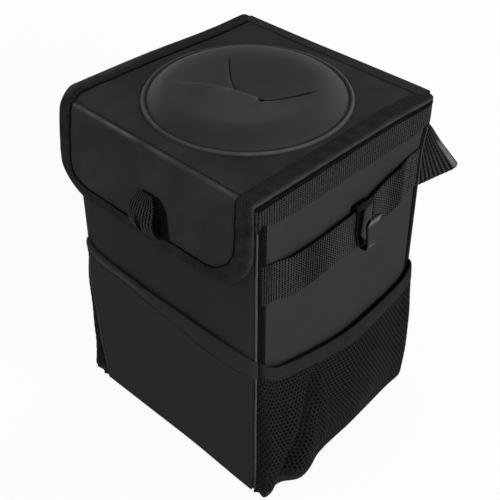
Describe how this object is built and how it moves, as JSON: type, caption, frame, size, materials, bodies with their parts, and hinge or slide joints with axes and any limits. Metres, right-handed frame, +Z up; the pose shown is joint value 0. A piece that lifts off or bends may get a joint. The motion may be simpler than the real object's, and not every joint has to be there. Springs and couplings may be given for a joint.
{
  "type": "car trash bin",
  "caption": "Upright cloth bin for a car with a hinged lid and flap, a cross-cut foam mouth, net side pockets, a front pocket, side webbing with bag hooks and a hanging strap.",
  "frame": {"origin": "middle of the flat base, on the ground", "axes": "+Z up, the front with its flap and pocket faces -Y, the net pockets face +X and -X"},
  "size_m": [0.1952, 0.2176, 0.256],
  "materials": {
    "outer_cloth": "woven",
    "stiffener": "pressed board",
    "lining": "coated",
    "binding_tape": "woven tape",
    "webbing": "ribbed webbing",
    "net": "knitted net",
    "foam": "moulded foam",
    "moulded_plastic": "moulded",
    "hook_and_loop": "hook and loop"
  },
  "bodies": {
    "bin": {"front_panel": "outer_cloth", "right_panel": "outer_cloth", "back_panel": "outer_cloth", "left_panel": "outer_cloth", "base_panel": "outer_cloth", "front_pocket": "outer_cloth", "lid_hinge_tape": "outer_cloth", "front_board": "stiffener", "right_board": "stiffener", "back_board": "stiffener", "left_board": "stiffener", "base_board": "stiffener", "liner": "lining", "front_left_corner_tape": "binding_tape", "front_right_corner_tape": "binding_tape", "back_left_corner_tape": "binding_tape", "back_right_corner_tape": "binding_tape", "front_pocket_binding": "binding_tape", "right_pocket_elastic": "binding_tape", "left_pocket_elastic": "binding_tape", "mouth_tape": "webbing", "right_side_strap": "webbing", "left_side_strap": "webbing", "hanging_strap": "webbing", "right_mesh_pocket": "net", "left_mesh_pocket": "net", "front_closure_patch": "hook_and_loop"},
    "lid": {"lid_cover": "outer_cloth", "lid_board": "stiffener", "lid_lining": "lining", "lid_left_binding": "binding_tape", "lid_right_binding": "binding_tape", "foam_mouth": "foam"},
    "flap": {"flap_cover": "outer_cloth", "flap_board": "stiffener", "flap_lining": "lining", "flap_binding": "binding_tape", "pull_loop": "webbing", "flap_closure_patch": "hook_and_loop"},
    "right_hook": {"right_bag_hook": "moulded_plastic"},
    "left_hook": {"left_bag_hook": "moulded_plastic"},
    "slider": {"strap_slider": "moulded_plastic"}
  },
  "joints": [
    {"name": "lid_hinge", "type": "hinge", "parent": "bin", "child": "lid", "pos_m": [0, 0.07865, 0.24585], "axis": [-1, 0, 0], "range_deg": [0, 180]},
    {"name": "flap_fold", "type": "hinge", "parent": "lid", "child": "flap", "pos_m": [0, -0.08365, 0.24585], "axis": [-1, 0, 0], "range_deg": [0, 120]},
    {"name": "right_hook_slide", "type": "slide", "parent": "bin", "child": "right_hook", "axis": [0, 1, 0], "range_m": [-0.046, 0]},
    {"name": "left_hook_slide", "type": "slide", "parent": "bin", "child": "left_hook", "axis": [0, 1, 0], "range_m": [-0.046, 0]},
    {"name": "slider_slide", "type": "slide", "parent": "bin", "child": "slider", "axis": [1, 0, 0], "range_m": [-0.05, 0.05]}
  ]
}
